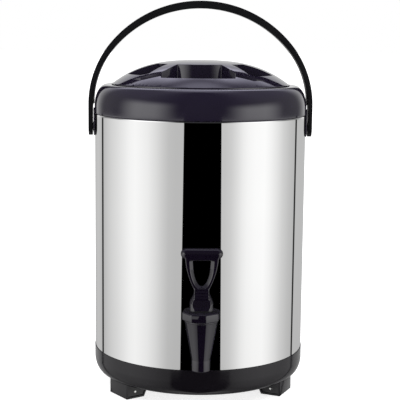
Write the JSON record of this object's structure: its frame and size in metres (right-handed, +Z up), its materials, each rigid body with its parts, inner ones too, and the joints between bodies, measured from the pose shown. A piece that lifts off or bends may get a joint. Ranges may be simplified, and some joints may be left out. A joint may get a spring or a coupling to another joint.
{
  "type": "insulated beverage dispenser",
  "caption": "Insulated steel barrel drink dispenser with a screw lid, a swinging carrying bail and a self-closing lever tap.",
  "frame": {"origin": "middle of the plan of the whole object at the height of the floor that the feet stand on", "axes": "+Z up, the tap points along -Y, the bail pivots lie along X"},
  "size_m": [0.2648, 0.3073, 0.4598],
  "materials": {
    "polished_steel": "mirror-polished stainless sheet",
    "liner_steel": "plain drawn stainless sheet",
    "hardware_steel": "bright zinc or stainless",
    "gloss_black": "gloss moulded black with a slight violet tint",
    "satin_black": "satin moulded black",
    "inner_plastic": "moulded black",
    "silicone": "matt silicone",
    "foam": "rigid foam"
  },
  "bodies": {
    "barrel": {"outer_shell": "polished_steel", "inner_liner": "liner_steel", "insulation_foam": "foam", "base_ring": "satin_black", "base_plate": "liner_steel", "base_screws": "hardware_steel", "foot_left": "satin_black", "foot_right": "satin_black", "foot_rear": "satin_black", "foot_rivets": "hardware_steel", "top_collar": "gloss_black", "neck_ring": "inner_plastic", "liner_seal": "silicone", "pivot_nut_plates": "hardware_steel", "bail_pivot_screws": "hardware_steel", "tap_body": "gloss_black", "tap_outer_washer": "silicone", "tap_inner_washer": "silicone", "tap_lock_nut": "inner_plastic", "tap_sleeve": "hardware_steel", "tap_bonnet": "gloss_black", "bonnet_gasket": "silicone"},
    "bail": {"bail_handle": "satin_black"},
    "lid_seal": {"lid_gasket": "silicone"},
    "lid": {"lid_cover": "gloss_black", "lid_plug": "inner_plastic", "lid_insulation": "foam"},
    "tap_valve": {"tap_stem": "hardware_steel", "tap_seat_cup": "silicone", "tap_spring": "hardware_steel", "lever_pin": "hardware_steel"},
    "lever": {"tap_lever": "gloss_black"}
  },
  "joints": [
    {"name": "bail_swing", "type": "hinge", "parent": "barrel", "child": "bail", "pos_m": [0, 0.02735, 0.3116], "axis": [1, 0, 0], "range_deg": [-110, 110]},
    {"name": "lid_rise", "type": "slide", "parent": "barrel", "child": "lid_seal", "axis": [0, 0, 1], "range_m": [0, 0.0301]},
    {"name": "lid_turn", "type": "hinge", "parent": "lid_seal", "child": "lid", "pos_m": [0, 0.02735, 0.3556], "axis": [0, 0, 1], "range_deg": [0, 450]},
    {"name": "stem_lift", "type": "slide", "parent": "barrel", "child": "tap_valve", "axis": [0, 0, 1], "range_m": [0, 0.00505], "deforming": ["tap_spring"]},
    {"name": "lever_tilt", "type": "hinge", "parent": "tap_valve", "child": "lever", "pos_m": [0, -0.13265, 0.1317], "axis": [1, 0, 0], "range_deg": [0, 40], "stiffness_Nm_per_rad": 0.06, "springref_deg": -34.38}
  ],
  "couplings": [
    {"joint": "lid_rise", "follows": "lid_turn", "m_per_rad": 0.0038197},
    {"joint": "stem_lift", "follows": "lever_tilt", "m_per_rad": 0.007162}
  ]
}
